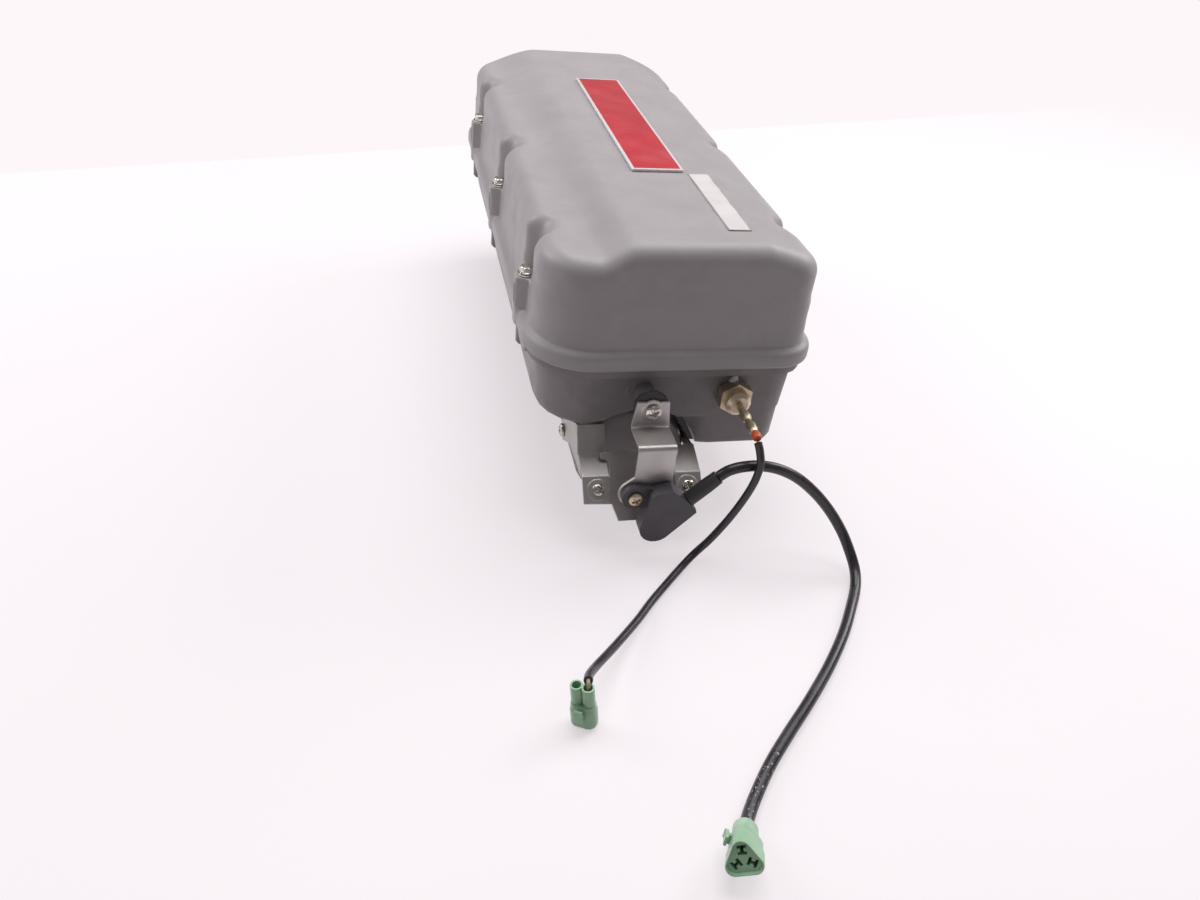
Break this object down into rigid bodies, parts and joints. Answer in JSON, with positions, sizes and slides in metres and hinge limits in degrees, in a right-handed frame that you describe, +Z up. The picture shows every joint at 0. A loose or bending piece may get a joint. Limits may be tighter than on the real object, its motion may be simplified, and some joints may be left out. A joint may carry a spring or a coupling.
{
  "type": "engine air intake case",
  "caption": "Long grey moulded air intake case with a screwed cover, an inlet duct below, outlet boots, a bracket-mounted position sensor and a temperature sender with leads.",
  "frame": {"origin": "on the floor under the middle of the case, its front brackets included, without the free leads", "axes": "+Z up, +Y along the case from the sensor end to the back, +X to the right seen from the sensor end"},
  "size_m": [0.2301, 0.7629, 0.2105],
  "materials": {
    "grey_paint": "satin grey moulding with a light grain",
    "tray_grey": "satin darker grey moulding",
    "red_plate": "bare red plate with a pale border",
    "black_rubber": "matt",
    "lead_black": "glossy sheath",
    "black_plastic": "fine matt grain",
    "stainless": "satin",
    "brass": "dull, handled",
    "green_plastic": "semi-gloss moulding",
    "orange_seal": "satin",
    "wire_mesh": "folded mesh"
  },
  "bodies": {
    "case": {"tray": "tray_grey", "tray_insert_1": "brass", "tray_insert_2": "brass", "tray_insert_3": "brass", "tray_insert_4": "brass", "tray_insert_5": "brass", "tray_insert_6": "brass", "cover_seal": "black_rubber", "outlet_boot_1": "black_rubber", "outlet_boot_2": "black_rubber", "outlet_boot_3": "black_rubber", "boot_clamp_1": "stainless", "boot_clamp_2": "stainless", "boot_clamp_3": "stainless", "flame_arrester_1": "wire_mesh", "flame_arrester_2": "wire_mesh", "flame_arrester_3": "wire_mesh", "inlet_duct": "black_plastic", "neck_seal": "black_rubber", "strap_bracket": "stainless", "strap_damper": "black_rubber", "strap_screw": "stainless", "side_bracket_left": "stainless", "side_bracket_right": "stainless", "side_bolt_left": "stainless", "side_bolt_right": "stainless", "saddle_plate": "stainless", "saddle_screw_left": "stainless", "saddle_screw_right": "stainless", "sensor_body": "black_plastic", "sensor_bolt": "brass", "sensor_nut": "stainless", "sensor_gland": "black_rubber", "sensor_lead": "lead_black", "three_way_housing": "green_plastic", "sender_body": "brass", "sender_washer": "brass", "sender_terminal": "brass", "sender_wire_seal": "orange_seal", "sender_lead": "lead_black", "two_way_housing": "green_plastic"},
    "cover": {"cover": "grey_paint", "name_plate": "red_plate", "cover_screw_1": "stainless", "cover_screw_2": "stainless", "cover_screw_3": "stainless", "cover_screw_4": "stainless", "cover_screw_5": "stainless", "cover_screw_6": "stainless", "cover_washer_1": "stainless", "cover_washer_2": "stainless", "cover_washer_3": "stainless", "cover_washer_4": "stainless", "cover_washer_5": "stainless", "cover_washer_6": "stainless"},
    "three_way_latch": {"three_way_latch": "green_plastic"},
    "two_way_latch": {"two_way_latch": "green_plastic"}
  },
  "joints": [
    {"name": "cover_lift", "type": "slide", "parent": "case", "child": "cover", "axis": [0, 0, 1], "range_m": [0, 0.14]},
    {"name": "three_way_press", "type": "hinge", "parent": "case", "child": "three_way_latch", "pos_m": [-0.02931, -0.47688, 0.01397], "axis": [-0.3004, -0.3832, -0.8735], "range_deg": [0, 10], "stiffness_Nm_per_rad": 0.05},
    {"name": "two_way_press", "type": "hinge", "parent": "case", "child": "two_way_latch", "pos_m": [-0.0908, -0.39311, 0.01281], "axis": [0.8387, -0.5272, 0.1368], "range_deg": [0, 10], "stiffness_Nm_per_rad": 0.05}
  ]
}
